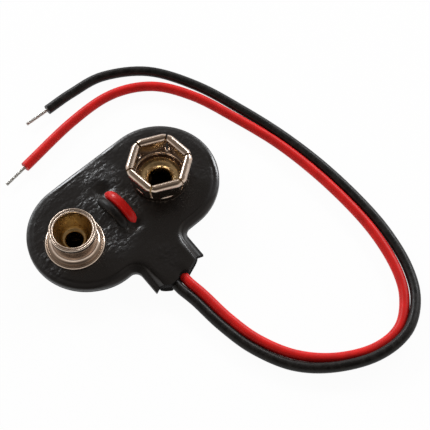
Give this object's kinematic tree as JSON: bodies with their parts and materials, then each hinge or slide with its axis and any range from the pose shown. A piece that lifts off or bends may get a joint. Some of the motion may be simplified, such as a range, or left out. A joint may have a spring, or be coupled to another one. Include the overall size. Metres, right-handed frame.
{
  "type": "battery snap connector",
  "caption": "Battery snap connector: a vinyl pouch holds a round stud beside a hexagonal spring socket, and a red and a black lead loop through its front and leave by a tail, ends stripped.",
  "frame": {"origin": "on the flat back of the pouch, midway between the axes of the two contacts", "axes": "+X along the contacts from the stud towards the socket, +Y away from the tail, +Z out of the front, the way the contacts point"},
  "size_m": [0.0344, 0.0508, 0.0061],
  "materials": {
    "grained_vinyl": "soft black sheet with a leather grain",
    "smooth_vinyl": "soft black sheet, satin",
    "board": "pressed fibre board",
    "nickel": "nickel-plated sheet steel",
    "rivet": "plain brass, dull",
    "red_insulation": "satin cable insulation",
    "black_insulation": "satin cable insulation, slightly dusty",
    "tinned_wire": "tinned copper and solder"
  },
  "bodies": {
    "root": {"front_cover": "grained_vinyl", "back_cover": "smooth_vinyl", "board": "board", "stud": "nickel", "stud_rivet": "rivet", "socket": "nickel", "socket_rivet": "rivet", "red_lead": "red_insulation", "black_lead": "black_insulation", "red_core": "tinned_wire", "black_core": "tinned_wire", "red_solder": "tinned_wire", "black_solder": "tinned_wire", "red_free_lead": "red_insulation", "black_free_lead": "black_insulation", "red_bare_end": "tinned_wire", "black_bare_end": "tinned_wire"}
  },
  "joints": []
}
